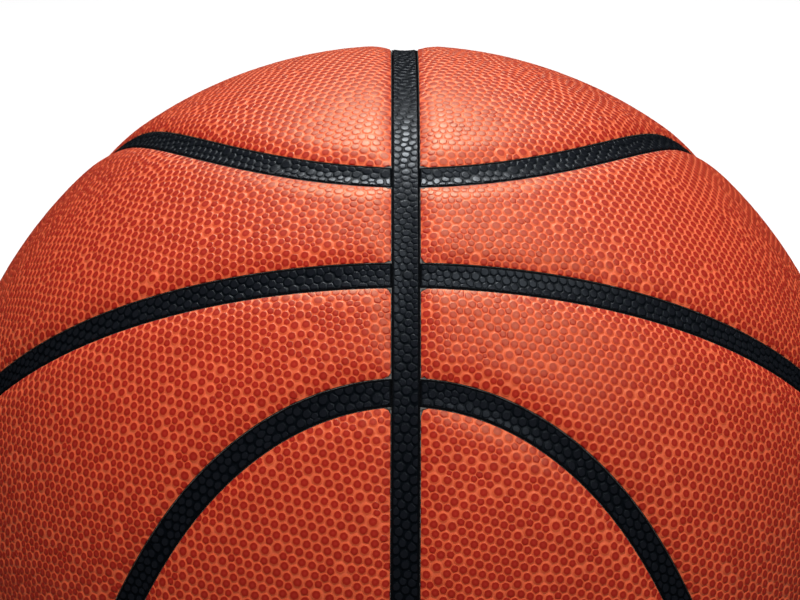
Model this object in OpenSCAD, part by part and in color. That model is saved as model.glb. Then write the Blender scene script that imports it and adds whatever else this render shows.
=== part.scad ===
// A size 7 basketball: an inflated rubber bladder wound with thread, a rubber carcass, eight sponge-backed
// cover panels, and seven pebbled strips laid into the channels between the panels.
// The origin is the centre of the ball, with +Z up. The long channel lies in the plane x = 0 and the cross
// channel in the plane y = 0, so the two cross at the top and at the bottom. An oval channel runs round the
// front (-Y) and another round the back (+Y).

/* [Ball] */
// Diameter over the crests of the cover panels
ball_d = 240; // [236:1:246]

/* [Channels] */
// Width of every channel, from panel edge to panel edge
channel_w = 6.7; // [5.5:0.1:8]
// Arc along the long channel, from the cross channel to an oval channel
waist_length = 29.6; // [26:0.2:34]
// Arc from the cross channel to an oval channel where they are furthest apart
belly_length = 81.7; // [76:0.5:88]
// Angle round the ball from the long channel at which an oval channel has opened half way
opening_angle = 31; // [28:0.5:34]
// Height by which a panel's outer face falls at the edge of a channel
shoulder_drop = 1.1; // [0.8:0.1:1.3]
// Width of the rolled shoulder along each panel's edge
shoulder_w = 6.3; // [5:0.1:8]
// Depth of the hollow along the middle of a channel strip
strip_dish = 0.4; // [0.2:0.1:0.6]
// Gap round a channel strip, to the panels beside it and the carcass under it
strip_gap = 0.1; // [0.05:0.05:0.2]

/* [Layers] */
// Thickness of the pebbled cover
cover_t = 1.5; // [1.4:0.1:1.8]
// Thickness of the sponge backing under each cover panel
sponge_t = 2; // [1.5:0.1:2.5]
// Thickness of the rubber carcass
carcass_t = 1; // [0.8:0.1:1.4]
// Thickness of the wound thread layer
winding_t = 0.8; // [0.6:0.1:1.2]
// Thickness of the bladder wall
bladder_t = 0.8; // [0.6:0.1:1.2]

/* [Valve] */
// Angle from the cross channel to the valve, round the vertical axis
valve_angle = 19.5; // [16:0.5:24]
// Diameter of the hole that takes the inflating needle
needle_hole_d = 2.1; // [1.6:0.1:2.4]
// Diameter of the flared mouth of the needle hole
mouth_d = 3.2; // [2.8:0.1:3.6]
// Depth of the flared mouth of the needle hole
mouth_depth = 0.8; // [0.5:0.1:1.2]
// Diameter of the valve plug's head, which shows in the cover
plug_head_d = 7.4; // [6.8:0.1:8]
// Thickness of the valve plug's head
plug_head_t = 1.6; // [1.2:0.1:2]
// Depth of the valve plug's head below the crest of the cover
plug_recess = 0.4; // [0.2:0.1:0.6]
// Diameter of the valve plug's body
plug_body_d = 5.2; // [4.8:0.1:5.6]
// Diameter of the bulb that keeps the valve plug in its boot
plug_bulb_d = 6.6; // [6.2:0.1:7]
// Length of the bulb at the inner end of the valve plug
plug_bulb_l = 2.2; // [1.8:0.1:2.6]
// Solid rubber between the needle hole and the bulb, which seals when the needle is out
plug_seal_t = 2; // [1.5:0.1:2.5]
// Outer diameter of the valve boot
boot_d = 10.4; // [9.8:0.1:11]
// Length by which the valve boot reaches inwards from the bladder
boot_reach = 6; // [5:0.5:8]
// Diameter of the flange that bonds the valve boot to the bladder
flange_d = 30; // [24:1:36]
// Thickness of the flange that bonds the valve boot to the bladder
flange_t = 1.2; // [1:0.1:1.6]
// Clearance between the valve boot and the layers round it
boot_clearance = 0.1; // [0.05:0.05:0.2]
// Clearance between the valve plug and its boot or cover
plug_clearance = 0.05; // [0.02:0.01:0.1]

/* [Hidden] */

ball_r = ball_d / 2;
cover_r = ball_r - cover_t;
bed_r = cover_r - sponge_t;
carcass_r = bed_r - carcass_t;
winding_r = carcass_r - winding_t;
bladder_r = winding_r - bladder_t;
edge_r = ball_r - shoulder_drop;

// Overrun of every cut past the faces that it goes through
cut_over = 0.3;
// Radius at which a sponge's outline is capped before the sponge is cut to its layer, as a share of the ball's
cap_share = 2;
cap_r = ball_r * cap_share;

waist_angle = waist_length / ball_r * 180 / PI;
belly_angle = belly_length / ball_r * 180 / PI;
opening_rate = ln(2) / pow(tan(opening_angle), 2);

// Heights of a rolled shoulder's points, as shares of its drop, at even steps across its width
shoulder_drop_shares = [1, 4 / 9, 1 / 9, 0];
shoulder_steps = len(shoulder_drop_shares) - 1;
// Arcs from a channel's centreline to the lines of points along a panel's shoulder
shoulder_arcs = [for (i = [0:shoulder_steps]) channel_w / 2 + shoulder_w * i / shoulder_steps];
// Places of a strip's top points, as shares of its half width
strip_place_shares = [-1, -2 / 3, -1 / 3, 0, 1 / 3, 2 / 3, 1];

// Counts of cells on a panel's face: along an oval channel, across a band, along the long channel, and from
// an oval panel's shoulder to its middle
oval_cells = 48;
band_cells = 6;
long_cells = 48;
middle_cells = 8;
tangent_step = 0.01;
aim_steps = 8;

boot_end_r = bladder_r - boot_reach;
needle_stop_r = boot_end_r + plug_seal_t;
plug_top_r = ball_r - plug_recess;
plug_neck_r = plug_top_r - plug_head_t;

$fn = 96;
// Facets round a sphere that a panel's thin cover is measured against
thin_layer_fn = 256;

function unit(v) = v / norm(v);

function last(list) = list[len(list) - 1];

function reversed(list) = [for (i = [len(list) - 1:-1:0]) list[i]];

// Angle at the centre of the ball that an arc along its face covers
function arc_angle(arc) = arc / ball_r * 180 / PI;

// Everything below is worked out for the back right quarter of the ball and mirrored for the other three.
// A turn is an angle round the Y axis from the top, and every direction is a unit vector from the centre.

// Angle from the plane of the cross channel to the back oval channel
function oval_latitude(turn) =
    belly_angle - (belly_angle - waist_angle) * exp(-opening_rate * pow(tan(turn), 2));

function oval_centreline(turn) =
    let (lat = oval_latitude(turn))
    [cos(lat) * sin(turn), sin(lat), cos(lat) * cos(turn)];

// Direction beside the oval channel's centreline; the arc is measured towards the back
function beside_oval(turn, arc) =
    let (
        here = oval_centreline(turn),
        along = oval_centreline(turn + tangent_step) - oval_centreline(turn - tangent_step)
    )
    cos(arc_angle(arc)) * here + sin(arc_angle(arc)) * unit(cross(here, along));

// Direction beside the cross channel's centreline; the arc is measured towards the back
function beside_cross(turn, arc) =
    let (lean = arc_angle(arc))
    [cos(lean) * sin(turn), sin(lean), cos(lean) * cos(turn)];

// Direction beside the long channel's centreline; the arc is measured towards the right
function beside_long(turn, arc) =
    let (lean = arc_angle(arc))
    [sin(lean), cos(lean) * sin(turn), cos(lean) * cos(turn)];

// A line from the top of the ball to the bottom is given as [arc from the cross channel, arc from the oval
// channel, share of the way from the first to the second]
function on_line(line, turn) =
    unit((1 - line[2]) * beside_cross(turn, line[0]) + line[2] * beside_oval(turn, line[1]));

// Turn at which a line comes to an arc from the long channel, found by stepping towards it
function line_start(line, arc, turn = 0, steps = aim_steps) =
    steps == 0 ? turn
        : line_start(line, arc, turn + arc_angle(arc) - asin(on_line(line, turn)[0]), steps - 1);

// Turns that all lines share once they are clear of the long channel's shoulders
open_turn = line_start([0, 0, 1], last(shoulder_arcs) + shoulder_w / shoulder_steps);
open_turns = [for (i = [0:oval_cells]) open_turn + (180 - 2 * open_turn) * i / oval_cells];

// Turns along a line that begins and ends at the given arcs from the long channel
function line_turns(line, arcs) =
    let (starts = [for (arc = arcs) line_start(line, arc)])
    concat(starts, open_turns, [for (turn = reversed(starts)) 180 - turn]);

// Radius of a panel's outer face, from its shares of the drop towards two of its edges
function face_r(share_a, share_b) = ball_r - shoulder_drop * (1 - (1 - share_a) * (1 - share_b));

// A channel strip's section, from the left bottom corner over its hollow top: [arc across, radius]
function strip_section() =
    let (half = channel_w / 2 - strip_gap, low = bed_r + strip_gap)
    concat(
        [[-half, low]],
        [for (share = strip_place_shares) [half * share, edge_r - strip_dish * (1 - share * share)]],
        [[half, low]]
    );

// Triangles of a grid of points listed row by row; a wrapped grid joins its last row or column to its first
function grid_faces(rows, cols, wrap_rows, wrap_cols) = [
    for (i = [0:rows - (wrap_rows ? 1 : 2)], j = [0:cols - (wrap_cols ? 1 : 2)])
        let (
            next_i = (i + 1) % rows,
            next_j = (j + 1) % cols,
            a = i * cols + j,
            b = i * cols + next_j,
            c = next_i * cols + next_j,
            d = next_i * cols + j
        )
        each [[a, d, c], [a, c, b]]
];

// Flat walls from a rim of points, listed clockwise as seen from outside, to the point at the ball's centre
function wall_faces(rim, centre) = [
    for (i = [0:len(rim) - 1]) [rim[(i + 1) % len(rim)], rim[i], centre]
];

// A wedge from the ball's centre out to a grid of points
module grid_wedge(grid) {
    rows = len(grid);
    cols = len(grid[0]);
    rim = concat(
        [for (i = [0:rows - 1]) i * cols],
        [for (j = [1:cols - 1]) (rows - 1) * cols + j],
        [for (i = [rows - 2:-1:0]) i * cols + cols - 1],
        [for (j = [cols - 2:-1:1]) j]
    );
    polyhedron(
        concat([for (row = grid) each row], [[0, 0, 0]]),
        concat(grid_faces(rows, cols, false, false), wall_faces(rim, rows * cols))
    );
}

// A wedge from the ball's centre out to rings of points round a middle point
module ring_wedge(rings, middle) {
    rows = len(rings);
    cols = len(rings[0]);
    inmost = [for (j = [0:cols - 1]) (rows - 1) * cols + j];
    polyhedron(
        concat([for (ring = rings) each ring], [middle, [0, 0, 0]]),
        concat(
            grid_faces(rows, cols, false, true),
            [for (j = [0:cols - 1]) [inmost[j], rows * cols, inmost[(j + 1) % cols]]],
            wall_faces([for (j = [cols - 1:-1:0]) j], rows * cols + 1)
        )
    );
}

// Outer lines of a band panel, from the cross channel to the oval channel, each with its share of the drop
function band_lines() = concat(
    [for (i = [0:shoulder_steps]) [[shoulder_arcs[i], 0, 0], shoulder_drop_shares[i]]],
    [for (i = [1:band_cells - 1]) [[last(shoulder_arcs), -last(shoulder_arcs), i / band_cells], 0]],
    [for (i = [shoulder_steps:-1:0]) [[0, -shoulder_arcs[i], 1], shoulder_drop_shares[i]]]
);

// Shares of the drop at the turns along a band panel's lines
band_turn_shares = concat(
    shoulder_drop_shares, [for (turn = open_turns) 0], reversed(shoulder_drop_shares)
);

// The part of the ball between the cross channel and the oval channel
module band_wedge() {
    grid_wedge([
        for (line = band_lines())
            let (turns = line_turns(line[0], shoulder_arcs))
            [
                for (j = [0:len(turns) - 1])
                    face_r(line[1], band_turn_shares[j]) * on_line(line[0], turns[j])
            ]
    ]);
}

// The same part of the ball with plain edges, out to the cap radius
module band_block() {
    lines = band_lines();
    grid_wedge([
        for (line = [lines[0][0], last(lines)[0]])
            [for (turn = line_turns(line, shoulder_arcs)) cap_r * on_line(line, turn)]
    ]);
}

// Directions round an oval panel at an arc from the centrelines of both its channels
function oval_outline(arc) =
    let (
        line = [0, arc, 1],
        turns = line_turns(line, [arc]),
        corner = on_line(line, turns[0]),
        corner_turn = atan2(corner[1], corner[2]),
        cell_turn = (180 - 2 * corner_turn) / long_cells
    )
    concat(
        [for (turn = turns) on_line(line, turn)],
        [for (i = [long_cells - 1:-1:1]) beside_long(corner_turn + cell_turn * i, arc)]
    );

oval_middle = beside_long(90, ball_r * (90 - belly_angle) / 2 * PI / 180);

// The part of the ball between the oval channel and the long channel
module oval_wedge() {
    inner = oval_outline(last(shoulder_arcs));
    ring_wedge(
        concat(
            [
                for (i = [0:shoulder_steps])
                    [for (way = oval_outline(shoulder_arcs[i])) face_r(shoulder_drop_shares[i], 0) * way]
            ],
            [
                for (i = [1:middle_cells - 1])
                    [for (way = inner) ball_r * unit(way + (oval_middle - way) * i / middle_cells)]
            ]
        ),
        ball_r * oval_middle
    );
}

// The same part of the ball with plain edges, out to the cap radius
module oval_block() {
    ring_wedge([[for (way = oval_outline(channel_w / 2)) cap_r * way]], cap_r * oval_middle);
}

// Puts its children, made for the back right quarter, on the given side of each plane
module on_side(x_side, y_side) {
    if (x_side < 0) {
        mirror([1, 0, 0]) on_side(1, y_side) children();
    } else if (y_side < 0) {
        mirror([0, 1, 0]) children();
    } else {
        children();
    }
}

module shell(outer_r, inner_r) {
    difference() {
        sphere(outer_r);
        sphere(inner_r);
    }
}

// Puts its children on the valve's axis, which their own Z axis becomes
module on_valve_axis() {
    rotate([0, 90, valve_angle]) children();
}

module valve_rod(rod_d, low_r, high_r) {
    on_valve_axis() translate([0, 0, low_r]) cylinder(d = rod_d, h = high_r - low_r);
}

module band_panel(x_side, y_side) {
    color("orangered") difference() {
        on_side(x_side, y_side) band_wedge();
        sphere(cover_r, $fn = thin_layer_fn);
        if (x_side > 0 && y_side > 0) {
            valve_rod(plug_head_d + 2 * plug_clearance, cover_r - cut_over, ball_r + cut_over);
        }
    }
}

module oval_panel(x_side, y_side) {
    color("orangered") difference() {
        on_side(x_side, y_side) oval_wedge();
        sphere(cover_r, $fn = thin_layer_fn);
    }
}

module band_sponge(x_side, y_side) {
    color("dimgray") difference() {
        intersection() {
            on_side(x_side, y_side) band_block();
            sphere(cover_r);
        }
        sphere(bed_r);
        if (x_side > 0 && y_side > 0) {
            valve_rod(boot_d + 2 * boot_clearance, bed_r - cut_over, cover_r + cut_over);
        }
    }
}

module oval_sponge(x_side, y_side) {
    color("dimgray") difference() {
        intersection() {
            on_side(x_side, y_side) oval_block();
            sphere(cover_r);
        }
        sphere(bed_r);
    }
}

// A strip's section carried round the Z axis, through an angle from the X axis
module strip_sweep(angle) {
    rotate_extrude(angle = angle) polygon([
        for (place = strip_section())
            let (lean = arc_angle(place[0]))
            [place[1] * cos(lean), place[1] * sin(lean)]
    ]);
}

module long_channel_strip() {
    color([0.08, 0.09, 0.1]) rotate([0, 90, 0]) strip_sweep(360);
}

// Half of the cross channel, with its ends against the long channel's strip
module cross_channel_strip(x_side) {
    end_angle = arc_angle(channel_w / 2);
    color([0.08, 0.09, 0.1]) on_side(x_side, 1) rotate([90, 0, 0]) rotate([0, 0, end_angle - 90])
        strip_sweep(180 - 2 * end_angle);
}

// Half of an oval channel, with its ends against the long channel's strip
module oval_channel_strip(x_side, y_side) {
    places = strip_section();
    rows = [
        for (place = places)
            let (line = [0, place[0], 1])
            [for (turn = line_turns(line, [channel_w / 2])) place[1] * on_line(line, turn)]
    ];
    count = len(rows);
    cols = len(rows[0]);
    color([0.08, 0.09, 0.1]) on_side(x_side, y_side) polyhedron(
        [for (row = rows) each row],
        concat(
            grid_faces(count, cols, true, false),
            [for (i = [1:count - 2]) [0, (i + 1) * cols, i * cols]],
            [for (i = [1:count - 2]) [cols - 1, (i + 1) * cols - 1, (i + 2) * cols - 1]]
        )
    );
}

// A closed layer all round the ball, open only where the valve boot goes through
module full_layer(outer_r, inner_r) {
    difference() {
        shell(outer_r, inner_r);
        valve_rod(boot_d + 2 * boot_clearance, inner_r - cut_over, outer_r + cut_over);
    }
}

module rubber_carcass() {
    color([0.16, 0.15, 0.14]) full_layer(bed_r, carcass_r);
}

module thread_winding() {
    color("gainsboro") full_layer(carcass_r, winding_r);
}

module bladder() {
    color([0.12, 0.12, 0.13]) full_layer(winding_r, bladder_r);
}

// The boot's flange lies against the inside of the bladder, and its tube reaches out to the cover
module valve_boot() {
    flange_r = bladder_r - boot_clearance;
    color([0.2, 0.2, 0.2]) difference() {
        union() {
            intersection() {
                sphere(cover_r);
                valve_rod(boot_d, boot_end_r, ball_r);
            }
            intersection() {
                shell(flange_r, flange_r - flange_t);
                valve_rod(flange_d, boot_end_r, ball_r);
            }
        }
        valve_rod(plug_body_d + 2 * plug_clearance, boot_end_r - cut_over, ball_r);
        valve_rod(plug_head_d + 2 * plug_clearance, plug_neck_r - plug_clearance, ball_r);
    }
}

// The plug's bulb lies past the inner end of the boot, and its head shows in the cover
module valve_plug() {
    bulb_top_r = boot_end_r - plug_clearance;
    color([0.1, 0.1, 0.1]) difference() {
        union() {
            valve_rod(plug_head_d, plug_neck_r, plug_top_r);
            valve_rod(plug_body_d, bulb_top_r, plug_top_r);
            valve_rod(plug_bulb_d, bulb_top_r - plug_bulb_l, bulb_top_r);
        }
        valve_rod(needle_hole_d, needle_stop_r, ball_r);
        on_valve_axis() translate([0, 0, plug_top_r - mouth_depth])
            cylinder(d1 = needle_hole_d, d2 = mouth_d, h = mouth_depth);
    }
}

bladder();
valve_boot();
valve_plug();
thread_winding();
rubber_carcass();
long_channel_strip();
cross_channel_strip(-1);  // left_cross_channel_strip
cross_channel_strip(1);  // right_cross_channel_strip
for (x_side = [-1, 1], y_side = [-1, 1]) {
    quarter = str(y_side < 0 ? "front" : "back", x_side < 0 ? "_left" : "_right");
    band_sponge(x_side, y_side);
    oval_sponge(x_side, y_side);
    band_panel(x_side, y_side);
    oval_panel(x_side, y_side);
    oval_channel_strip(x_side, y_side);
}
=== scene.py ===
"""A size 7 basketball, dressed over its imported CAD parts, in a plain studio.

The eight cover panels and the seven channel strips get a skin of separate raised pebbles, and the
valve, the sponge backing, the carcass, the thread winding and the bladder get their finishes. The
ball's centre is the origin.
"""

import functools
import math

import bmesh
import bpy
import numpy as np
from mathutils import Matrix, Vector


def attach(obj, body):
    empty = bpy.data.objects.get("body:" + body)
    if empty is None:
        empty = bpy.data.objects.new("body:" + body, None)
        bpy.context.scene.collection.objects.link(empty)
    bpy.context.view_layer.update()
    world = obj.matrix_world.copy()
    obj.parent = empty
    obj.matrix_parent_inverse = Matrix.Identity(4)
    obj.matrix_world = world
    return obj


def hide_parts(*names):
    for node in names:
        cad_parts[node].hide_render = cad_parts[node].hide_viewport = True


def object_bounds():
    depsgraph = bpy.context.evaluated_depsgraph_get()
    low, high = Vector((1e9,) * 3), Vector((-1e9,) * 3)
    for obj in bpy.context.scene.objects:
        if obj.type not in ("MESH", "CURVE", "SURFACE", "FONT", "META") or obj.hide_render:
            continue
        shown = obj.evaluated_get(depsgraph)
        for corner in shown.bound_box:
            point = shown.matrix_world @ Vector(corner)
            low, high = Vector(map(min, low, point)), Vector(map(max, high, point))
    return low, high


bl_info = {
    "name": "Pebbled basketball",
    "version": (1, 0, 0),
    "blender": (4, 5, 0),
    "location": "3D View > Sidebar > Basketball",
    "description": "Builds the cover, the channel strips and the finishes of a size 7 basketball",
    "category": "Add Mesh",
}

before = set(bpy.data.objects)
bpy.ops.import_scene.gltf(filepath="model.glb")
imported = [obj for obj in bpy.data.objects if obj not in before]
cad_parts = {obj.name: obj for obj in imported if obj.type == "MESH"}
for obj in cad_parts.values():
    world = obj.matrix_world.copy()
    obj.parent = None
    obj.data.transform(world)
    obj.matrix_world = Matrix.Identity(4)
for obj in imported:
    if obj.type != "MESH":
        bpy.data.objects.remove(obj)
CAD_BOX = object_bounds()

X_SIDES = ("left", "right")
Y_SIDES = ("front", "back")
QUARTERS = [(y, x) for y in Y_SIDES for x in X_SIDES]
STRIPS = (
    ["long_channel_strip"]
    + [f"{x}_cross_channel_strip" for x in X_SIDES]
    + [f"{y}_{x}_oval_channel_strip" for y, x in QUARTERS]
)
PANELS = [f"{y}_{x}_{kind}_panel" for kind in ("band", "oval") for y, x in QUARTERS]
SKINS = STRIPS + PANELS
SPONGES = [f"{y}_{x}_{kind}_sponge" for kind in ("band", "oval") for y, x in QUARTERS]

# A skin's label is its number in SKINS. These are the first labels of each kind.
LONG_STRIP = SKINS.index("long_channel_strip")
CROSS_STRIPS = SKINS.index("left_cross_channel_strip")
OVAL_STRIPS = SKINS.index("front_left_oval_channel_strip")
BAND_PANELS = SKINS.index("front_left_band_panel")
OVAL_PANELS = SKINS.index("front_left_oval_panel")
VALVE_HOLE = len(SKINS)  # the label of the hole that the valve's head fills

LINES = ("long", "cross", "oval")  # the channels' centrelines, in the order of Channels.arcs

# What a skin's mesh carries for its material
PLACE_MAP = "pebble_place"  # UV map: place on a pebble, -1 to 1 across it
TONE = "pebble_tone"  # on a face: a random number of its pebble's
CLIMB = "climb"  # on a point: share of the way from its pebble's middle to the cell's edge


class BallSizes(bpy.types.PropertyGroup):
    """Sizes of the ball's skin, which follow the CAD part's."""

    ball_d: bpy.props.FloatProperty(
        name="Ball diameter", description="Over the crests of the cover panels", default=0.24,
        unit="LENGTH")
    channel_w: bpy.props.FloatProperty(
        name="Channel width", description="From panel edge to panel edge", default=0.0067,
        unit="LENGTH")
    waist_length: bpy.props.FloatProperty(
        name="Waist length",
        description="Arc from the cross channel to an oval channel where they are closest",
        default=0.0296, unit="LENGTH")
    belly_length: bpy.props.FloatProperty(
        name="Belly length",
        description="Arc from the cross channel to an oval channel where they are furthest apart",
        default=0.0817, unit="LENGTH")
    opening_angle: bpy.props.FloatProperty(
        name="Opening angle",
        description="Angle from the long channel at which an oval channel has opened half way",
        default=math.radians(31), subtype="ANGLE")
    shoulder_w: bpy.props.FloatProperty(
        name="Shoulder width", description="Width of the rolled shoulder along a panel's edge",
        default=0.0063, unit="LENGTH")
    shoulder_drop: bpy.props.FloatProperty(
        name="Shoulder drop", description="Height by which a panel falls at the edge of a channel",
        default=0.0011, unit="LENGTH")
    crown_w: bpy.props.FloatProperty(
        name="Crown width",
        description="Distance from a channel at which a panel's middle is fully risen",
        default=0.026, unit="LENGTH")
    crown_rise: bpy.props.FloatProperty(
        name="Crown rise",
        description="Height of a panel's middle over its edges, without the shoulder",
        default=0.0002, unit="LENGTH")
    strip_dish: bpy.props.FloatProperty(
        name="Strip dish", description="Depth of the hollow along the middle of a strip",
        default=0.0004, unit="LENGTH")
    strip_gap: bpy.props.FloatProperty(
        name="Strip gap", description="Gap between a strip and the panels beside it",
        default=0.0001, unit="LENGTH")
    strip_lip: bpy.props.FloatProperty(
        name="Strip lip", description="Width of the plain margin along a strip", default=0.00042,
        unit="LENGTH")
    panel_lip: bpy.props.FloatProperty(
        name="Panel lip", description="Width of the dark turned edge of a panel", default=0.00022,
        unit="LENGTH")
    lip_fall: bpy.props.FloatProperty(
        name="Lip fall", description="Height by which a lip falls from the valleys to the gap",
        default=0.00016, unit="LENGTH")
    corner_cut: bpy.props.FloatProperty(
        name="Corner cut", description="Distance by which a panel's corners are rounded back",
        default=0.0005, unit="LENGTH")
    panel_floor: bpy.props.FloatProperty(
        name="Panel underside", description="Radius of the underside of the cover", default=0.1185,
        unit="LENGTH")
    strip_floor: bpy.props.FloatProperty(
        name="Strip underside", description="Radius of the underside of the strips", default=0.1166,
        unit="LENGTH")
    valve_angle: bpy.props.FloatProperty(
        name="Valve angle",
        description="Angle from the cross channel to the valve, round the vertical axis",
        default=math.radians(19.5), subtype="ANGLE")
    valve_hole_d: bpy.props.FloatProperty(
        name="Valve hole diameter", description="Hole in the cover for the valve's head",
        default=0.0075, unit="LENGTH")
    valve_collar_d: bpy.props.FloatProperty(
        name="Valve collar diameter", description="Smooth ring of the cover round the valve",
        default=0.0128, unit="LENGTH")


class PebbleSizes(bpy.types.PropertyGroup):
    """Sizes of the raised pebbles."""

    count: bpy.props.IntProperty(
        name="Pebbles", description="Number of pebbles round the whole ball", default=38500,
        min=12000, max=40000)
    seed: bpy.props.IntProperty(
        name="Seed", description="Choice of one irregular layout", default=7)
    scatter: bpy.props.FloatProperty(
        name="Scatter", description="Unevenness of the layout, as a share of a pebble's pitch",
        default=0.12, subtype="FACTOR")
    height: bpy.props.FloatProperty(
        name="Pebble height", description="From the valley between pebbles to their flat tops",
        default=0.0002, unit="LENGTH")
    edge_room: bpy.props.FloatProperty(
        name="Edge room",
        description="Least distance from a pebble's middle to the edge of its panel",
        default=0.0009, unit="LENGTH")


class BallColours(bpy.types.PropertyGroup):
    """Colours of the ball's materials."""

    cover_valley: bpy.props.FloatVectorProperty(
        name="Cover valleys", description="Orange of the network between the pebbles",
        subtype="COLOR", default=(0.53, 0.070, 0.024))
    # The pale valley line's colour is a painted highlight for the light that the valley walls catch
    cover_painted_highlight: bpy.props.FloatVectorProperty(
        name="Cover lines", description="Pale line along the middle of the valleys",
        subtype="COLOR", default=(0.74, 0.16, 0.075))
    cover_top: bpy.props.FloatVectorProperty(
        name="Cover tops", description="Dark red of the pebbles' worn flat tops", subtype="COLOR",
        default=(0.285, 0.0088, 0.0045))
    cover_centre: bpy.props.FloatVectorProperty(
        name="Pebble middle", description="Worn middle of each cover pebble", subtype="COLOR",
        default=(0.38, 0.021, 0.014))
    strip_valley: bpy.props.FloatVectorProperty(
        name="Strip valleys", description="Black between the strips' pebbles", subtype="COLOR",
        default=(0.0014, 0.0022, 0.0034))
    strip_top: bpy.props.FloatVectorProperty(
        name="Strip tops", description="Blue black of the strips' pebbles", subtype="COLOR",
        default=(0.0055, 0.0064, 0.0088))
    lip: bpy.props.FloatVectorProperty(
        name="Lips", description="Black sealed edges of the panels and strips", subtype="COLOR",
        default=(0.0016, 0.0018, 0.0022))
    backing: bpy.props.FloatVectorProperty(
        name="Backing", description="Woven backing on the underside of the cover and strips",
        subtype="COLOR", default=(0.030, 0.027, 0.025))
    sponge: bpy.props.FloatVectorProperty(
        name="Sponge", description="Foam under the cover panels", subtype="COLOR",
        default=(0.085, 0.082, 0.078))
    carcass: bpy.props.FloatVectorProperty(
        name="Carcass", description="Vulcanised rubber carcass", subtype="COLOR",
        default=(0.022, 0.020, 0.019))
    winding: bpy.props.FloatVectorProperty(
        name="Winding", description="Nylon thread of the winding", subtype="COLOR",
        default=(0.62, 0.60, 0.55))
    bladder: bpy.props.FloatVectorProperty(
        name="Bladder", description="Butyl rubber bladder", subtype="COLOR",
        default=(0.013, 0.013, 0.015))
    valve: bpy.props.FloatVectorProperty(
        name="Valve", description="Soft rubber of the valve", subtype="COLOR",
        default=(0.016, 0.016, 0.017))


class StudioSettings(bpy.types.PropertyGroup):
    """The lights, the floor and the camera."""

    key_power: bpy.props.FloatProperty(
        name="Key light", description="Broad low light from behind the ball", default=3.8,
        unit="POWER")
    top_power: bpy.props.FloatProperty(
        name="Top light", description="Soft light above the ball, which whitens the floor",
        default=1.9, unit="POWER")
    crown_power: bpy.props.FloatProperty(
        name="Crown light",
        description="Soft light from above and behind, which the ball's crown reflects",
        default=1.5, unit="POWER")
    sky_strength: bpy.props.FloatProperty(
        name="Room light", description="Even light from the whole room", default=0.20)
    floor_colour: bpy.props.FloatVectorProperty(
        name="Floor", description="Pale floor and backdrop", subtype="COLOR",
        default=(0.72, 0.728, 0.733))
    camera_place: bpy.props.FloatVectorProperty(
        name="Camera place", description="Where the camera stands", subtype="TRANSLATION",
        default=(-0.00587, -0.39116, 0.78949))
    camera_turn: bpy.props.FloatVectorProperty(
        name="Camera turn", description="How the camera is turned", subtype="EULER",
        default=tuple(math.radians(a) for a in (29.8175, -0.4028, 0.0328)))
    camera_lens: bpy.props.FloatProperty(
        name="Camera lens", description="Focal length for a 36 mm wide sensor", default=150.525,
        unit="CAMERA")


# Reading and writing a mesh as arrays


def read(rows, name, width, kind=np.float32):
    values = np.empty(len(rows) * width, kind)
    rows.foreach_get(name, values)
    values = values.astype(float) if kind == np.float32 else values
    return values.reshape(-1, width) if width > 1 else values


def write(rows, name, values):
    rows.foreach_set(name, np.ascontiguousarray(values, np.float32).ravel())


def made(bm, name):
    """The bmesh as a mesh, and the bmesh freed."""
    mesh = bpy.data.meshes.new(name)
    bm.to_mesh(mesh)
    bm.free()
    return mesh


def unit(ways):
    return ways / np.linalg.norm(ways, axis=-1, keepdims=True)


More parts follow.
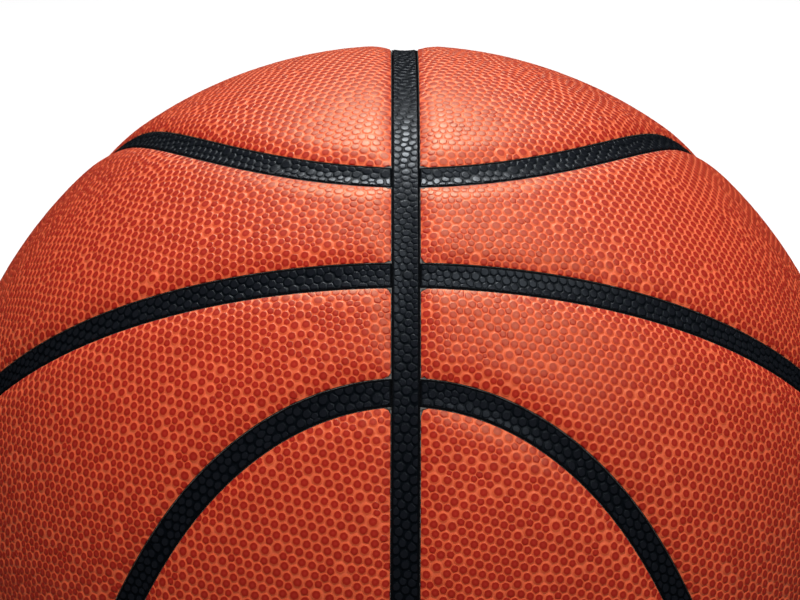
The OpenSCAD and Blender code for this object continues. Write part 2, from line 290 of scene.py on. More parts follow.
class Channels:
    """Where the channels run. A way is a unit vector from the ball's centre. Lines are worked out
    in the back right quarter, and every other way is folded into it."""

    least_cosine = 0.02  # keeps an oval line's direction finite where it meets the plane Z = 0
    search_rounds = 6
    longest_step = 0.2  # radians moved in one round of the search

    def __init__(self, sizes):
        self.ball_r = sizes.ball_d / 2
        self.edge = sizes.channel_w / 2
        self.seam = self.edge - sizes.strip_gap / 2  # middle of the gap between a strip and a panel
        self.sizes = sizes
        self.waist = sizes.waist_length / self.ball_r
        self.belly = sizes.belly_length / self.ball_r
        self.rate = math.log(2) / math.tan(sizes.opening_angle) ** 2
        angle = sizes.valve_angle
        self.valve_way = np.array([math.cos(angle), math.sin(angle), 0])

    @staticmethod
    def fold(ways):
        """Ways folded into the quarter, and the signs that unfold them."""
        signs = np.where(ways < 0, -1.0, 1.0)
        signs[:, 2] = 1
        return ways * signs, signs

    def arc_between(self, ways, others):
        apart = np.linalg.norm(ways - others, axis=1)
        return 2 * self.ball_r * np.arcsin(np.clip(apart / 2, 0, 1))

    def oval_line(self, turn):
        """Ways along the oval channel's centreline, and its direction there. A turn is the angle
        from the long channel, and lat the line's angle from the cross channel: the belly's, less a
        closing that is greatest at the waist."""
        c, s = np.cos(turn), np.sin(turn)
        least = self.least_cosine
        steep = np.where(np.abs(c) < least, np.copysign(least, c), c)
        closing = (self.belly - self.waist) * np.exp(-self.rate * (s / steep) ** 2)
        lat = self.belly - closing
        rise = closing * 2 * self.rate * s / steep**3
        cl, sl = np.cos(lat), np.sin(lat)
        here = np.stack([cl * s, sl, cl * c], 1)
        along = np.stack([cl * c - rise * sl * s, rise * cl, -cl * s - rise * sl * c], 1)
        return here, along

    def beside_oval(self, ways):
        """Nearest ways on the oval channel's centreline, the direction across it there, and the arc
        from it to each way, which is negative towards the cross channel."""
        turn = np.arctan2(ways[:, 0], ways[:, 2])
        for _ in range(self.search_rounds):
            here, along = self.oval_line(turn)
            step = ((ways - here) * along).sum(1) / (along**2).sum(1)
            turn += np.clip(step, -self.longest_step, self.longest_step)
        here, along = self.oval_line(turn)
        across = unit(np.cross(here, along))
        arc = self.arc_between(ways, here)
        return here, across, arc * np.sign(((ways - here) * across).sum(1))

    def arcs(self, ways):
        """Arcs from each way to the long and the cross channel, and the signed arc to the oval."""
        folded, _ = self.fold(ways)
        return (
            self.ball_r * np.arcsin(np.clip(folded[:, 0], 0, 1)),
            self.ball_r * np.arcsin(np.clip(folded[:, 1], 0, 1)),
            self.beside_oval(folded)[2],
        )

    def valve_arc(self, ways):
        return self.arc_between(ways, self.valve_way)

    def moved(self, ways, line, arc):
        """Ways moved to lie at an arc from a line, or from the middle of the valve."""
        angle = np.broadcast_to(arc / self.ball_r, len(ways))[:, None]
        if line == "valve":
            across = unit(ways - self.valve_way * (ways @ self.valve_way)[:, None])
            return self.valve_way * np.cos(angle) + across * np.sin(angle)
        folded, signs = self.fold(ways)
        if line == "oval":
            here, across, _ = self.beside_oval(folded)
        else:
            across = np.eye(3)[LINES.index(line)]
            here = unit(folded * (1 - across))
        return signs * (np.cos(angle) * here + np.sin(angle) * across)

    def labels(self, ways):
        """Label of the skin that each way lies on."""
        long_arc, cross_arc, oval_arc = self.arcs(ways)
        x = (ways[:, 0] > 0).astype(int)
        y = (ways[:, 1] > 0).astype(int)
        quarter = len(X_SIDES) * y + x
        label = np.where(oval_arc < 0, BAND_PANELS + quarter, OVAL_PANELS + quarter)
        label = np.where(np.abs(oval_arc) < self.seam, OVAL_STRIPS + quarter, label)
        label = np.where(cross_arc < self.seam, CROSS_STRIPS + x, label)
        label = np.where(long_arc < self.seam, LONG_STRIP, label)
        return np.where(self.valve_arc(ways) < self.sizes.valve_hole_d / 2, VALVE_HOLE, label)

    def edge_line(self, skin, other, inset=0.0):
        """The line and the arc from it at which a skin, drawn in by an inset, meets another."""
        strip, edge = self.edge - self.sizes.strip_gap - inset, self.edge + inset
        if other == "valve":
            return "valve", self.sizes.valve_hole_d / 2 + inset
        if skin == "long_channel_strip":
            return "long", strip
        if other == "long_channel_strip":
            return "long", edge
        if "cross" in skin or "cross" in other:
            return "cross", strip if "cross" in skin else edge
        side = 1 if "oval_panel" in skin + other else -1
        return "oval", side * (strip if "strip" in skin else edge)

    def face_r(self, skin, ways):
        """Radius of the smooth face under the pebbles' tops."""
        s = self.sizes
        arcs = np.abs(np.stack(self.arcs(ways)))
        if "strip" in skin:
            row = [line in skin for line in LINES].index(True)
            share = np.clip(arcs[row] / (self.edge - s.strip_gap), 0, 1)
            return self.ball_r - s.shoulder_drop - s.strip_dish * (1 - share**2)
        if "oval" in skin:  # an oval panel doesn't reach the cross channel
            arcs = np.delete(arcs, LINES.index("cross"), axis=0)
        away = np.clip(arcs - self.edge, 0, None)
        shoulder = 1 - np.prod(1 - np.clip(1 - away / s.shoulder_w, 0, 1) ** 2, axis=0)
        crown = 1 - np.prod(1 - np.clip(1 - away / s.crown_w, 0, 1) ** 2, axis=0)
        return self.ball_r - s.shoulder_drop * shoulder - s.crown_rise * crown


class PebbleLayout:
    """An uneven layout of pebbles all round the ball: the pebbles' middles, the triangles that join
    them, and a mesh with one cell round each pebble, whose corners are numbered by triangle."""

    working_r = 100.0  # the mesh operators are at their best with sides of about 1
    sphere_subdivisions = 7
    pairing_spread = 0.12  # random spread of the lengths by which pairs are chosen, as a share
    scatter_rounds = 2
    even_rounds = 12
    corner_rounds = 6  # a corner beside several lines is moved to each in turn
    passage_ends = (0.1, 0.9)  # where, along a triangle's side, the edge of a skin may cross it

    def __init__(self, channels, count, seed, scatter, edge_room):
        self.channels = channels
        self.random = np.random.default_rng(seed)
        self.edge_room = edge_room
        self.pitch = self.working_r * math.sqrt(4 * math.pi / count)
        bm = bmesh.new()
        bmesh.ops.create_icosphere(bm, subdivisions=self.sphere_subdivisions, radius=self.working_r)
        self.thin_out(bm, len(bm.verts) - count)
        for _ in range(self.scatter_rounds):
            self.scatter(bm, scatter)
        for _ in range(self.even_rounds):
            self.even_out(bm)
        mesh = made(bm, "pebble_middles")
        self.middles = unit(read(mesh.vertices, "co", 3))
        self.triangles = read(mesh.loops, "vertex_index", 1, np.int32).reshape(-1, 3)
        self.labels = channels.labels(self.middles)
        self.tones = self.random.random(len(self.middles))
        self.cells = self.cells_round(mesh)
        bpy.data.meshes.remove(mesh)

    def thin_out(self, bm, spare):
        """Joins pairs of middles until none is spare. Close pairs mostly come first, which evens
        out the icosphere's crowding at its twelve points, and the random spread breaks up its
        rows."""
        bm.edges.ensure_lookup_table()
        apart = np.array([pair.calc_length() for pair in bm.edges])
        spread = self.random.normal(1.0, self.pairing_spread, len(apart))
        taken, pairs = set(), []
        for index in np.argsort(apart * spread):
            pair = bm.edges[index]
            if len(pairs) >= spare:
                break
            if not taken.intersection(v.index for v in pair.verts):
                pairs.append(pair)
                taken.update(e.other_vert(v).index for v in pair.verts for e in v.link_edges)
        bmesh.ops.collapse(bm, edges=pairs)

    def put(self, bm, places):
        for v, place in zip(bm.verts, (unit(places) * self.working_r).tolist()):
            v.co = place
        bmesh.ops.beautify_fill(bm, faces=bm.faces[:], edges=bm.edges[:], method="ANGLE")

    def scatter(self, bm, share):
        places = np.array([v.co for v in bm.verts])
        self.put(bm, places + self.random.normal(size=places.shape) * share * self.pitch)

    def even_out(self, bm):
        """Moves each middle to the centre of the triangles round it, and clear of every edge."""
        mesh = bpy.data.meshes.new("pebble_middles")
        bm.to_mesh(mesh)
        ways = unit(read(mesh.vertices, "co", 3))
        triangles = read(mesh.loops, "vertex_index", 1, np.int32).reshape(-1, 3)
        bpy.data.meshes.remove(mesh)
        a, b, c = (ways[triangles[:, k]] for k in range(3))
        area = np.linalg.norm(np.cross(b - a, c - a), axis=1)
        corners = triangles.T.ravel()
        centres = (a + b + c) / 3
        ways = unit(np.stack([
            np.bincount(corners, np.tile(area * row, 3), len(ways)) for row in centres.T], 1))
        seam = self.channels.seam
        for row, line in enumerate(LINES):
            arcs = self.channels.arcs(ways)[row]
            past = np.abs(arcs) - seam
            near = np.abs(past) < self.edge_room
            room = seam + np.copysign(self.edge_room, past[near])
            ways[near] = self.channels.moved(ways[near], line, np.copysign(room, arcs[near]))
        self.put(bm, ways)

    @staticmethod
    def cells_round(mesh):
        """One face round each middle, with a corner in each triangle. A face keeps its pebble's
        number and a corner its triangle's, and every point has room for the number of its ring."""
        bm = bmesh.new()
        bm.from_mesh(mesh)
        for name in ("triangle", "ring"):
            bm.verts.layers.int.new(name)
        bm.faces.layers.int.new("pebble")
        sides, middles = bm.edges[:], bm.verts[:]
        triangle = bm.verts.layers.int["triangle"]
        pebble = bm.faces.layers.int["pebble"]
        corners = bmesh.ops.poke(bm, faces=bm.faces[:], center_mode="MEAN")["verts"]
        for index, corner in enumerate(corners):
            corner[triangle] = index
        bmesh.ops.rotate_edges(bm, edges=sides, use_ccw=False)
        for index, middle in enumerate(middles):
            for face in middle.link_faces:
                face[pebble] = index
        bmesh.ops.dissolve_verts(bm, verts=middles)
        return made(bm, "pebble_cells")

    def corner_ways(self, label, inset, corner_cut):
        """Where the corners of one skin's cells lie. A corner in a triangle that crosses the skin's
        edge is put half way along the edge's passage through it, and then moved in by an inset."""
        skin = SKINS[label]
        labels = self.labels[self.triangles]
        places = self.middles[self.triangles]
        inside = labels == label
        ways = unit(places.mean(1))
        crossing = inside.any(1) & ~inside.all(1)
        lines = {}
        for other in np.unique(labels[crossing]):
            if other != label:
                name = "valve" if other == VALVE_HOLE else SKINS[other]
                line, arc = self.channels.edge_line(skin, name)
                at = (labels == other).any(1) & crossing
                if (line, arc) in lines:
                    at |= lines[line, arc][-1]
                _, drawn_in = self.channels.edge_line(skin, name, inset)
                _, at_corner = self.channels.edge_line(skin, name, inset + corner_cut)
                lines[line, arc] = (drawn_in, at_corner, at)
        shared = np.sum([at for *_, at in lines.values()], 0) > 1
        for (line, arc), (_, _, at) in lines.items():
            only = at & ~shared
            ways[only] = self.passage(places[only], inside[only], line, arc)
        for _ in range(self.corner_rounds):
            for (line, _), (drawn_in, at_corner, at) in lines.items():
                arcs = np.where(shared[at], at_corner, drawn_in)
                ways[at] = self.channels.moved(ways[at], line, arcs)
        return ways

    def middles_of(self, at_pebble, corners):
        """Each pebble's middle, which is the mean of its cell's corners, and its reach, which is
        their mean distance from it."""
        count = len(self.middles)
        tally = np.bincount(at_pebble, minlength=count)
        shares = np.maximum(tally, 1)
        middle = np.stack([np.bincount(at_pebble, corners[:, axis], count) for axis in range(3)], 1)
        middle = middle / shares[:, None]
        middle[tally == 0] = self.middles[tally == 0]
        middle = unit(middle)
        apart = np.linalg.norm(corners - middle[at_pebble], axis=1)
        return middle, np.bincount(at_pebble, apart, count) / shares

    def passage(self, places, inside, line, arc):
        """Middle of the stretch of a line that lies in each triangle."""
        flat = places.reshape(-1, 3)
        if line == "valve":
            past = self.channels.valve_arc(flat) - arc
        else:
            past = self.channels.arcs(flat)[LINES.index(line)] - arc
        past = past.reshape(-1, 3)
        total = np.zeros((len(places), 3))
        for a, b in ((0, 1), (1, 2), (2, 0)):
            crosses = inside[:, a] != inside[:, b]
            share = past[:, a] / np.where(past[:, a] == past[:, b], 1, past[:, a] - past[:, b])
            share = np.clip(share, *self.passage_ends)[:, None]
            at = places[:, a] + share * (places[:, b] - places[:, a])
            total += np.where(crosses[:, None], at, 0)
        return unit(total)


@functools.lru_cache(maxsize=1)
def layout_for(count, seed, scatter, edge_room):
    scene = bpy.context.scene
    return PebbleLayout(Channels(scene.ball_sizes), count, seed, scatter, edge_room)


# Rings of points up a pebble, from its cell's corners: the share of the way from its middle, and of
# its height
RINGS = ((1.0, 0.0), (0.91, 0.04), (0.77, 0.93), (0.63, 1.0))
# Ring numbers of the points below and round a skin. The faces there carry them as their pebble.
UNDERSIDE, EDGE = -1, -2

# Until the points get their places, these keep the faces of a skin apart
BUILDING_LIFT = 1.01
BUILDING_INSET = 0.1

# A pebble's span, over which its disc is laid: shares of its own reach and of the usual reach, and
# the most that it may be of its own
SPAN_SHARES = (0.35, 0.65)
MOST_SPAN = 1.15
# A ring's shape: shares of its cell's shape and of a circle
SHAPE_SHARES = (0.45, 0.55)
# A pebble's height: the share that each one has, and the share that grows with its size
HEIGHT_SHARES = (0.35, 0.65)
COLLAR_FADE = 0.0012  # metres outside the valve's collar in which the pebbles rise

OFF_PEBBLE = 3.0  # the place, on the UV map, of what lies on no pebble
PLAIN_TONE = 0.5
OFF_AXIS = 0.01  # keeps a turned way clear of the way that it was turned from
LEAST_LENGTH = 1e-9  # guards a division


def skin_of_cells(layout, label):
    """One skin as a closed mesh whose points aren't in their places yet: the underside, the edge
    all round, and the cells with their rings."""
    bm = bmesh.new()
    bm.from_mesh(layout.cells)
    pebble = bm.faces.layers.int["pebble"]
    away = [f for f in bm.faces if layout.labels[f[pebble]] != label]
    bmesh.ops.delete(bm, geom=away, context="FACES")

    ring = bm.verts.layers.int["ring"]
    for v in bm.verts:
        v[ring] = UNDERSIDE
    raised = bmesh.ops.extrude_face_region(bm, geom=bm.faces[:], use_keep_orig=True)["geom"]
    for v in raised:
        if isinstance(v, bmesh.types.BMVert):
            v[ring] = 0
            v.co *= BUILDING_LIFT
    bmesh.ops.recalc_face_normals(bm, faces=bm.faces[:])
    cells = []
    for face in bm.faces:
        if {v[ring] for v in face.verts} == {0}:
            cells.append(face)
        else:
            face[pebble] = UNDERSIDE

    walls = [e for e in bm.edges if {v[ring] for v in e.verts} == {UNDERSIDE, 0}]
    for part in bmesh.ops.subdivide_edges(bm, edges=walls, cuts=1)["geom_inner"]:
        if isinstance(part, bmesh.types.BMVert):
            part[ring] = EDGE
    for face in bm.faces:
        if any(v[ring] == EDGE for v in face.verts):
            face[pebble] = EDGE
            for edge in face.edges:
                edge.smooth = False

    for step in range(1, len(RINGS)):
        before = set(bm.verts)
        bmesh.ops.inset_individual(
            bm, faces=cells, thickness=BUILDING_INSET, use_even_offset=False)
        for v in bm.verts:
            if v not in before:
                v[ring] = step
    for face in bm.faces:
        face.smooth = True
    return made(bm, SKINS[label])


def pebbled_skin(skin, floor_r, scene):
    """A closed skin of raised pebbles, from its underside at floor_r out to the pebbles' tops."""
    sizes, pebbles = scene.ball_sizes, scene.pebble_sizes
    layout = layout_for(pebbles.count, pebbles.seed, pebbles.scatter, pebbles.edge_room)
    channels = layout.channels
    label = SKINS.index(skin)
    mesh = skin_of_cells(layout, label)
    triangle = read(mesh.attributes["triangle"].data, "value", 1, np.int32)
    ring = read(mesh.attributes["ring"].data, "value", 1, np.int32)
    face_pebble = read(mesh.attributes["pebble"].data, "value", 1, np.int32)
    loop_vertex = read(mesh.loops, "vertex_index", 1, np.int32)
    loop_pebble = np.repeat(face_pebble, read(mesh.polygons, "loop_total", 1, np.int32))
    owned = loop_pebble >= 0

    lip = sizes.strip_lip if "strip" in skin else sizes.panel_lip
    cut = 0.0 if "strip" in skin else sizes.corner_cut
    corner = layout.corner_ways(label, lip, cut)
    brink = layout.corner_ways(label, 0.0, cut)
    first = owned & (ring[loop_vertex] == 1)
    order = np.unique(loop_vertex[first], return_index=True)[1]
    at_vertex, at_pebble = loop_vertex[first][order], loop_pebble[first][order]
    middle, reach = layout.middles_of(at_pebble, corner[triangle[at_vertex]])

    # Rings follow their cell's corners, drawn towards a circle of the pebble's span
    owner = np.full(len(triangle), -1)
    owner[loop_vertex[owned]] = loop_pebble[owned]
    share, lift = np.array(RINGS)[np.maximum(ring, 0)].T
    ways = np.where(ring[:, None] < 0, brink[triangle], corner[triangle])
    inner = ring > 0
    own = owner[inner]
    spoke = ways[inner] - middle[own]
    length = np.maximum(np.linalg.norm(spoke, axis=1), LEAST_LENGTH)
    usual = np.median(reach[at_pebble])
    span = np.minimum(MOST_SPAN * reach, SPAN_SHARES[0] * reach + SPAN_SHARES[1] * usual)
    rounding = np.minimum(1.0, SHAPE_SHARES[0] + SHAPE_SHARES[1] * span[own] / length)
    ways[inner] = unit(middle[own] + spoke * (share[inner] * rounding)[:, None])

    # Small pebbles are lower, and none rise on the valve's collar
    height = pebbles.height * np.ones(len(ways))
    small = np.clip(reach[own] / usual, 0, 1)
    height[inner] *= HEIGHT_SHARES[0] + HEIGHT_SHARES[1] * small
    collar = sizes.valve_collar_d / 2
    fade = np.clip((channels.valve_arc(ways) - collar) / COLLAR_FADE, 0, 1)
    height *= fade
    radius = channels.face_r(skin, ways) - pebbles.height * fade + height * lift
    radius[ring == EDGE] -= sizes.lip_fall
    radius[ring == UNDERSIDE] = floor_r
    write(mesh.vertices, "co", ways * radius[:, None])

    # Places on a pebble, from -1 to 1 across its span
    turned = middle[:, [1, 2, 0]] * [1, -1, 1] + OFF_AXIS
    east = unit(np.cross(middle, turned))
    north = np.cross(middle, east)
    p = loop_pebble[owned]
    offset = ways[loop_vertex[owned]] - middle[p]
    across = np.stack([(offset * east[p]).sum(1), (offset * north[p]).sum(1)], 1)
    place = np.full((len(loop_vertex), 2), OFF_PEBBLE)
    place[owned] = across / span[p][:, None]
    write(mesh.uv_layers.new(name=PLACE_MAP).data, "uv", place)
    tone = np.where(face_pebble >= 0, layout.tones[face_pebble], PLAIN_TONE)
    write(mesh.attributes.new(TONE, "FLOAT", "FACE").data, "value", tone)
    write(mesh.attributes.new(CLIMB, "FLOAT", "POINT").data, "value", share)

    # Materials: the pebbles' own first, then the edge's and the underside's
    slots = np.select([face_pebble >= 0, face_pebble == EDGE], [0, 1], 2).astype(np.int32)
    mesh.polygons.foreach_set("material_index", slots)
    for name in ("triangle", "ring", "pebble"):
        mesh.attributes.remove(mesh.attributes[name])
    mesh.update()
    piece = bpy.data.objects.new(skin, mesh)
    bpy.context.collection.objects.link(piece)
    return piece


# Materials

# Sockets of a Mix node for colours: the factor, the two colours and the result
MIX_FACTOR, MIX_FIRST, MIX_SECOND, MIX_RESULT = 0, 6, 7, 2

# Where a pebble's finish changes, as shares of the way from its middle to its cell's edge
DISC_RIM = (0.60, 0.74)
WORN_RIM = (0.10, 0.50)
# The valley line is a painted highlight: a paler colour that stands in for light on the valley
# walls
PAINTED_HIGHLIGHT_RIM = (0.86, 0.96)
PAINTED_HIGHLIGHT_STRENGTH = 0.22


class Number:
    """A number in a material's nodes. Sums on it add Math nodes."""

    def __init__(self, finish, socket):
        self.finish, self.socket = finish, socket

    def sum(self, operation, first, second):
        node = self.finish.node(
            "ShaderNodeMath", {"operation": operation}, {0: first, 1: second})
        return Number(self.finish, node.outputs[0])

    def __add__(self, other):
        return self.sum("ADD", self, other)

    def __radd__(self, other):
        return self.sum("ADD", other, self)

    def __sub__(self, other):
        return self.sum("SUBTRACT", self, other)

    def __rsub__(self, other):
        return self.sum("SUBTRACT", other, self)

    def __mul__(self, other):
        return self.sum("MULTIPLY", self, other)

    def __rmul__(self, other):
        return self.sum("MULTIPLY", other, self)

    def swing(self, amount):
        """A number from 0 to 1 as a change of up to half the amount either way."""
        return (self - 0.5) * amount


class Nodes:
    """The nodes of a material or of the world, which one method adds."""

    def __init__(self, owner):
        owner.use_nodes = True
        self.tree = owner.node_tree
        self.tree.nodes.clear()

    def node(self, kind, settings=None, sockets=None):
        node = self.tree.nodes.new(kind)
        for name, value in (settings or {}).items():
            setattr(node, name, value)
        for name, value in (sockets or {}).items():
            self.join(node.inputs[name], value)
        return node

    def join(self, socket, value):
        value = value.socket if isinstance(value, Number) else value
        if isinstance(value, bpy.types.NodeSocket):
            self.tree.links.new(value, socket)
        else:
            socket.default_value = value


class Finish(Nodes):
    """A material built round one Principled shader."""

    def __init__(self, name, **constants):
        self.material = bpy.data.materials.new(name)
        super().__init__(self.material)
        self.shader = self.node("ShaderNodeBsdfPrincipled")
        self.node("ShaderNodeOutputMaterial", None, {"Surface": self.shader.outputs[0]})
        for name, value in constants.items():
            self.set(name.replace("_", " ").title().replace("Ior", "IOR"), value)

    def set(self, name, value):
        if isinstance(value, (tuple, list)) and len(value) == 3:
            value = (*value, 1)
        self.join(self.shader.inputs[name], value)

    def places(self):
        return self.node("ShaderNodeTexCoord").outputs["Object"]

    def noise(self, scale, detail=3.0, roughness=0.55):
        node = self.node("ShaderNodeTexNoise", None, {
            "Vector": self.places(), "Scale": scale, "Detail": detail, "Roughness": roughness})
        return Number(self, node.outputs["Fac"])

    def attribute(self, name):
        node = self.node("ShaderNodeAttribute", {"attribute_name": name})
        return Number(self, node.outputs["Fac"])

    def rise(self, value, low, high):
        """0 below low and 1 above high, smooth between."""
        node = self.node("ShaderNodeMapRange", {"interpolation_type": "SMOOTHSTEP"}, {
            "Value": value, "From Min": low, "From Max": high})
        return Number(self, node.outputs["Result"])

    def blend(self, share, first, second):
        first, second = ((*c, 1) if isinstance(c, tuple) else c for c in (first, second))
        node = self.node("ShaderNodeMix", {"data_type": "RGBA"}, {
            MIX_FACTOR: share, MIX_FIRST: first, MIX_SECOND: second})
        return node.outputs[MIX_RESULT]

    def shade(self, colour, amount):
        """A colour made lighter or darker."""
        node = self.node(
            "ShaderNodeVectorMath", {"operation": "SCALE"}, {0: colour, "Scale": amount})
        return node.outputs[0]

    def bump(self, height, distance, strength):
        node = self.node(
            "ShaderNodeBump", None, {"Height": height, "Distance": distance, "Strength": strength})
        self.join(self.shader.inputs["Normal"], node.outputs["Normal"])


def scaled(colour, share):
    return tuple(share * c for c in colour)


def pebbled_finish(name, valley, line, top, centre, rough_top, rough_valley, **constants):
    """Colour and gloss of a pebbled skin: a disc with a worn middle on each pebble's top, and
    valleys with a pale line painted along their middle. The line is a painted highlight that stands
    in for the light the valley walls catch."""
    finish = Finish(name, **constants)
    uv = finish.node("ShaderNodeUVMap", {"uv_map": PLACE_MAP}).outputs["UV"]
    length = finish.node("ShaderNodeVectorMath", {"operation": "LENGTH"}, {0: uv})
    tone = finish.attribute(TONE)
    ragged = finish.noise(scale=1100.0, detail=2.0)
    grain = finish.noise(scale=4200.0, detail=2.0)
    patches = finish.noise(scale=26.0)
    # Share of the way from the pebble's middle to its cell's edge, with an uneven rim
    reach = Number(finish, length.outputs["Value"]) * 0.85 + finish.attribute(CLIMB) * 0.15
    reach = reach + ragged.swing(0.18) + grain.swing(0.10) + tone.swing(0.06)
    disc = 1 - finish.rise(reach, *DISC_RIM)
    worn = (1 - finish.rise(reach, *WORN_RIM)) * (grain + 0.2)
    colour = finish.blend(disc, valley, finish.blend(worn, top, centre))
    # Painted highlight: the line colour (the line argument) is laid along the valleys for the light
    # their walls catch
    colour = finish.blend(finish.rise(reach, *PAINTED_HIGHLIGHT_RIM) * PAINTED_HIGHLIGHT_STRENGTH, colour, line)
    shade = 0.90 + tone * 0.12 + patches.swing(0.16) + grain.swing(0.10)
    finish.set("Base Color", finish.shade(colour, shade))
    gloss = rough_valley + disc * (rough_top - rough_valley)
    finish.set("Roughness", gloss + grain.swing(0.10))
    finish.bump(grain * 0.6 + ragged * 0.4, distance=0.00002, strength=0.5)
    return finish.material


def edge_and_back(colours):
    """Materials of a skin's sealed edges and of its woven underside."""
    if "sealed_edge" not in bpy.data.materials:
        edge = Finish("sealed_edge", specular_ior_level=0.0)
        wipe = edge.noise(scale=700.0)
        colour = tuple(colours.lip)
        edge.set("Base Color", edge.blend(wipe, colour, scaled(colour, 1.8)))
        edge.set("Roughness", 0.55 + wipe * 0.2)
        edge.bump(wipe, distance=0.00002, strength=0.4)
        back = Finish("woven_backing", roughness=0.9)
        weave = back.rise(back.noise(scale=2400.0, detail=1.0), low=0.4, high=0.6)
        colour = tuple(colours.backing)
        back.set("Base Color", back.blend(weave, scaled(colour, 0.6), colour))
        back.bump(weave, distance=0.0001, strength=0.6)
    return bpy.data.materials["sealed_edge"], bpy.data.materials["woven_backing"]


def dress(node, material):
    """Gives a CAD node a finish."""
    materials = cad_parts[node].data.materials
    materials.clear()
    materials.append(material)


class BALL_OT_channel_strips(bpy.types.Operator):
    """Lay the seven black pebbled strips into the channels"""

    bl_idname = "ball.channel_strips"
    bl_label = "Channel strips"

    def execute(self, context):
        scene = context.scene
        colours = scene.ball_colours
        valley, top = tuple(colours.strip_valley), tuple(colours.strip_top)
        finish = pebbled_finish(
            "channel_rubber", valley=valley, line=valley, top=top, centre=top,
            rough_top=0.26, rough_valley=0.46,
            specular_ior_level=0.19, specular_tint=(0.78, 0.90, 1.0))
        for skin in STRIPS:
            piece = pebbled_skin(skin, scene.ball_sizes.strip_floor, scene)
            piece.name = f"pebbled_{skin}"
            for material in (finish, *edge_and_back(colours)):
                piece.data.materials.append(material)
            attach(piece, "root")
            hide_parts(skin)
        return {"FINISHED"}


class BALL_OT_cover_panels(bpy.types.Operator):
    """Make the eight pebbled cover panels"""

    bl_idname = "ball.cover_panels"
    bl_label = "Cover panels"

    def execute(self, context):
        scene = context.scene
        colours = scene.ball_colours
        finish = pebbled_finish(
            "cover_leather", valley=tuple(colours.cover_valley), line=tuple(colours.cover_painted_highlight),
            top=tuple(colours.cover_top), centre=tuple(colours.cover_centre),
            rough_top=0.42, rough_valley=0.50,
            specular_ior_level=0.95, specular_tint=(1.0, 0.95, 0.55))
        for skin in PANELS:
            piece = pebbled_skin(skin, scene.ball_sizes.panel_floor, scene)
            piece.name = f"pebbled_{skin}"
            for material in (finish, *edge_and_back(colours)):
                piece.data.materials.append(material)
            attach(piece, "root")
            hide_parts(skin)
        return {"FINISHED"}


class BALL_OT_valve(bpy.types.Operator):
    """Finish the valve plug and its boot in soft rubber"""

    bl_idname = "ball.valve"
    bl_label = "Valve"

    def execute(self, context):
        colour = tuple(context.scene.ball_colours.valve)
        finish = Finish("valve_rubber", specular_ior_level=0.45)
        bloom = finish.noise(scale=300.0, detail=4.0)
        finish.set("Base Color", finish.blend(bloom * 0.5, colour, scaled(colour, 2.2)))
        finish.set("Roughness", 0.50 + bloom * 0.2)
        finish.bump(finish.noise(scale=3000.0, detail=2.0), distance=0.00002, strength=0.4)
        for node in ("valve_plug", "valve_boot"):
            dress(node, finish.material)
        return {"FINISHED"}


class BALL_OT_sponge_backing(bpy.types.Operator):
    """Finish the eight foam pads under the cover"""

    bl_idname = "ball.sponge_backing"
    bl_label = "Sponge backing"

    def execute(self, context):
        colour = tuple(context.scene.ball_colours.sponge)
        finish = Finish("sponge_foam", roughness=0.95)
        cells = finish.node(
            "ShaderNodeTexVoronoi", None, {"Vector": finish.places(), "Scale": 1300.0})
        pores = finish.rise(Number(finish, cells.outputs["Distance"]), low=0.15, high=0.55)
        finish.set("Base Color", finish.blend(pores, scaled(colour, 0.35), colour))
        finish.bump(pores, distance=0.0002, strength=0.8)
        for node in SPONGES:
            dress(node, finish.material)
        return {"FINISHED"}


# Ways in which the winding's thread lies, as turns of its pattern, and the colour of the talc that
# keeps the bladder from sticking
WINDING_TURNS = ((0.2, 0.5, 0.0), (1.1, -0.3, 0.7), (-0.6, 0.9, 1.9))
TALC = (0.16, 0.16, 0.16)


class BALL_OT_inner_layers(bpy.types.Operator):
    """Finish the carcass, the thread winding and the bladder"""

    bl_idname = "ball.inner_layers"
    bl_label = "Inner layers"

    def execute(self, context):
        colours = context.scene.ball_colours
        carcass = Finish("carcass_rubber")
        dust = carcass.noise(scale=60.0, detail=5.0)
        colour = tuple(colours.carcass)
        carcass.set("Base Color", carcass.blend(dust, colour, scaled(colour, 1.9)))
        carcass.set("Roughness", 0.62 + dust * 0.2)
        carcass.bump(carcass.noise(scale=900.0), distance=0.0001, strength=0.5)
        dress("rubber_carcass", carcass.material)

        winding = Finish("winding_thread", roughness=0.7)
        lays = []
        for turn in WINDING_TURNS:
            mapping = winding.node(
                "ShaderNodeMapping", None, {"Vector": winding.places(), "Rotation": turn})
            wave = winding.node("ShaderNodeTexWave", None, {
                "Vector": mapping.outputs["Vector"], "Scale": 420.0, "Distortion": 1.5,
                "Detail": 1.0})
            lays.append(Number(winding, wave.outputs["Fac"]))
        patch = winding.rise(winding.noise(scale=40.0, detail=1.0), low=0.45, high=0.55)
        thread = lays[0] * patch + lays[1] * (1 - patch) * 0.6 + lays[2] * 0.4
        colour = tuple(colours.winding)
        winding.set("Base Color", winding.blend(thread, scaled(colour, 0.45), colour))
        winding.bump(thread, distance=0.0003, strength=0.8)
        dress("thread_winding", winding.material)

        bladder = Finish("bladder_rubber")
        colour = tuple(colours.bladder)
        talc = bladder.noise(scale=90.0, detail=6.0, roughness=0.7)
        dusted = bladder.rise(talc, low=0.5, high=0.8) * 0.5
        bladder.set("Base Color", bladder.blend(dusted, colour, TALC))
        bladder.set("Roughness", 0.45 + talc * 0.3)
        bladder.bump(bladder.noise(scale=500.0), distance=0.0001, strength=0.4)
        dress("bladder", bladder.material)
        return {"FINISHED"}


FLOOR_REACH = 6.0  # metres from the ball to each side of the floor


def area_light(name, power, place, target, size, spread):
    """A soft lamp at a place, aimed at a target, with its size in metres and spread in degrees."""
    light = bpy.data.lights.new(name, "AREA")
    light.spread = math.radians(spread)
    light.shape = "RECTANGLE"
    light.size, light.size_y = size
    light.energy = power
    lamp = bpy.data.objects.new(name, light)
    bpy.context.collection.objects.link(lamp)
    lamp.location = place
    back = lamp.location - Vector(target)
    lamp.rotation_euler = back.to_track_quat("Z", "Y").to_euler()
    return lamp


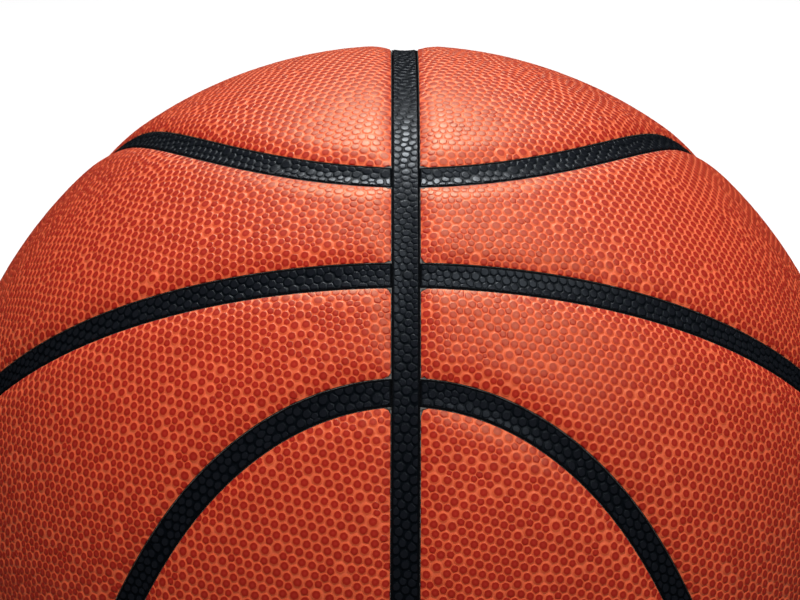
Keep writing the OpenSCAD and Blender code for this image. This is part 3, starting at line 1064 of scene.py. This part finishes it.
class BALL_OT_studio(bpy.types.Operator):
    """Set the floor, the lights and the camera"""

    bl_idname = "ball.studio"
    bl_label = "Studio"

    def execute(self, context):
        scene = context.scene
        studio = scene.ball_studio
        bm = bmesh.new()
        bmesh.ops.create_grid(bm, x_segments=8, y_segments=8, size=FLOOR_REACH)
        ball_bottom = CAD_BOX[0][2]
        bmesh.ops.translate(bm, verts=bm.verts[:], vec=(0, 0, ball_bottom))
        floor = bpy.data.objects.new("studio_floor", made(bm, "studio_floor"))
        context.collection.objects.link(floor)
        floor.visible_glossy = False  # the photographed ball mirrors no floor
        paint = Finish("floor_paint", roughness=0.9)
        specks = paint.noise(scale=3.0, detail=4.0)
        white = tuple(studio.floor_colour)
        paint.set("Base Color", paint.blend(specks, scaled(white, 0.985), white))
        floor.data.materials.append(paint.material)

        world = bpy.data.worlds.new("studio_room")
        scene.world = world
        room = Nodes(world)
        light = room.node("ShaderNodeBackground", None, {"Strength": studio.sky_strength})
        room.node("ShaderNodeOutputWorld", None, {"Surface": light.outputs[0]})
        world.cycles_visibility.glossy = False

        area_light(
            "key_light", studio.key_power,
            place=(0.0, 2.2, 0.82), target=(0, 0, 0.1), size=(2.4, 0.55), spread=30)
        top = area_light(
            "top_light", studio.top_power,
            place=(0.0, 0.2, 1.35), target=(0, 0.08, -0.1), size=(0.45, 0.45), spread=50)
        top.visible_glossy = False
        area_light(
            "crown_light", studio.crown_power,
            place=(0.42, 0.60, 1.10), target=(0, 0.05, 0), size=(1.3, 0.6), spread=80)

        lens = bpy.data.cameras.new("camera")
        lens.sensor_width = 36.0
        lens.lens = studio.camera_lens
        lens.clip_start = 0.01
        camera = bpy.data.objects.new("camera", lens)
        context.collection.objects.link(camera)
        camera.location = studio.camera_place
        camera.rotation_euler = studio.camera_turn
        scene.camera = camera
        scene.view_settings.view_transform = "Standard"
        return {"FINISHED"}


OPERATORS = (
    BALL_OT_channel_strips,
    BALL_OT_cover_panels,
    BALL_OT_valve,
    BALL_OT_sponge_backing,
    BALL_OT_inner_layers,
    BALL_OT_studio,
)
GROUPS = {
    "ball_sizes": BallSizes,
    "pebble_sizes": PebbleSizes,
    "ball_colours": BallColours,
    "ball_studio": StudioSettings,
}


class BALL_PT_build(bpy.types.Panel):
    """Sizes, colours and pieces of the basketball"""

    bl_label = "Basketball"
    bl_idname = "BALL_PT_build"
    bl_space_type = "VIEW_3D"
    bl_region_type = "UI"
    bl_category = "Basketball"

    def draw(self, context):
        layout = self.layout
        for operator in OPERATORS:
            layout.operator(operator.bl_idname)
        for name, group in GROUPS.items():
            box = layout.box()
            for prop in group.__annotations__:
                box.prop(getattr(context.scene, name), prop)


def register():
    for group in GROUPS.values():
        bpy.utils.register_class(group)
    for name, group in GROUPS.items():
        setattr(bpy.types.Scene, name, bpy.props.PointerProperty(type=group))
    for operator in OPERATORS:
        bpy.utils.register_class(operator)
    bpy.utils.register_class(BALL_PT_build)


def unregister():
    bpy.utils.unregister_class(BALL_PT_build)
    for operator in reversed(OPERATORS):
        bpy.utils.unregister_class(operator)
    for name in GROUPS:
        delattr(bpy.types.Scene, name)
    for group in reversed(list(GROUPS.values())):
        bpy.utils.unregister_class(group)


def main():
    register()
    for operator in OPERATORS:
        group, name = operator.bl_idname.split(".")
        getattr(getattr(bpy.ops, group), name)()


if __name__ == "__main__":
    main()
